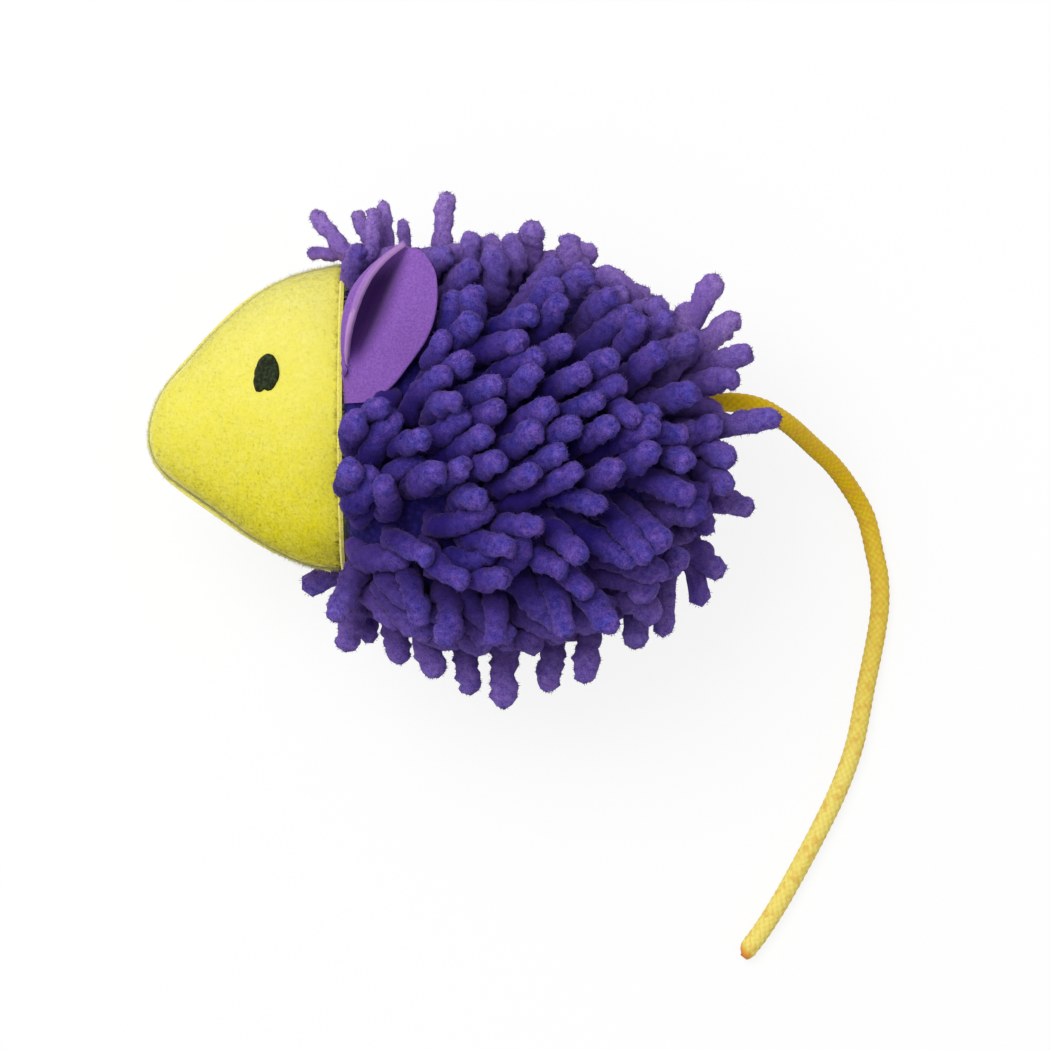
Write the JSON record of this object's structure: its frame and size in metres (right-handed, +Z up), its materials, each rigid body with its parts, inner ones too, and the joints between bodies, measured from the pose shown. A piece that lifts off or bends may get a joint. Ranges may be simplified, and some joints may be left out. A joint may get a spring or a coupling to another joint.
{
  "type": "catnip mouse",
  "caption": "Stuffed catnip toy mouse: plush cone head with embroidered eyes, shaggy chenille noodle body, folded felt ears and a satin cord tail, lying on its flank.",
  "frame": {"origin": "middle of the head and body's box, without the tail cord, on the ground that the right flank rests on", "axes": "+X from the nose to the tail, +Y from the belly to the back, +Z up from the right flank to the left flank"},
  "size_m": [0.1138, 0.1186, 0.0607],
  "materials": {
    "yellow_plush": "short-pile polyester plush",
    "violet_chenille": "microfibre chenille noodles on a knitted backing",
    "orchid_felt": "pressed polyester felt",
    "black_thread": "satin-stitched embroidery thread",
    "yellow_thread": "spun polyester sewing thread",
    "violet_thread": "spun polyester sewing thread",
    "yellow_satin_cord": "braided satin rattail cord with a melted end",
    "polyester_fill": "loose polyester fibre filling",
    "dried_catnip": "crushed dried leaf"
  },
  "bodies": {
    "mouse": {"left_head_panel": "yellow_plush", "right_head_panel": "yellow_plush", "left_eye": "black_thread", "right_eye": "black_thread", "left_ear_pleat": "orchid_felt", "right_ear_pleat": "orchid_felt", "head_seam_thread": "yellow_thread", "neck_seam_thread": "yellow_thread", "head_stuffing": "polyester_fill", "left_body_panel": "violet_chenille", "right_body_panel": "violet_chenille", "back_seam_thread": "violet_thread", "belly_seam_thread": "violet_thread", "closing_stitch": "violet_thread", "body_stuffing": "polyester_fill", "catnip_filling": "dried_catnip", "tail_knot": "yellow_satin_cord"},
    "left_ear": {"left_ear": "orchid_felt"},
    "right_ear": {"right_ear": "orchid_felt"},
    "tail": {"tail_cord": "yellow_satin_cord"}
  },
  "joints": [
    {"name": "left_ear_fold", "type": "hinge", "parent": "mouse", "child": "left_ear", "pos_m": [-0.0179, 0.0067, 0.0498], "axis": [0.9195, -0.3932, 0], "range_deg": [0, 50], "stiffness_Nm_per_rad": 0.001},
    {"name": "right_ear_fold", "type": "hinge", "parent": "mouse", "child": "right_ear", "pos_m": [-0.0179, 0.0067, 0.0102], "axis": [-0.9195, 0.3932, 0], "range_deg": [0, 50], "stiffness_Nm_per_rad": 0.001},
    {"name": "tail_swing", "type": "hinge", "parent": "mouse", "child": "tail", "pos_m": [0.0331, 0.005, 0.03], "axis": [0, 0, 1], "range_deg": [-30, 30]}
  ]
}
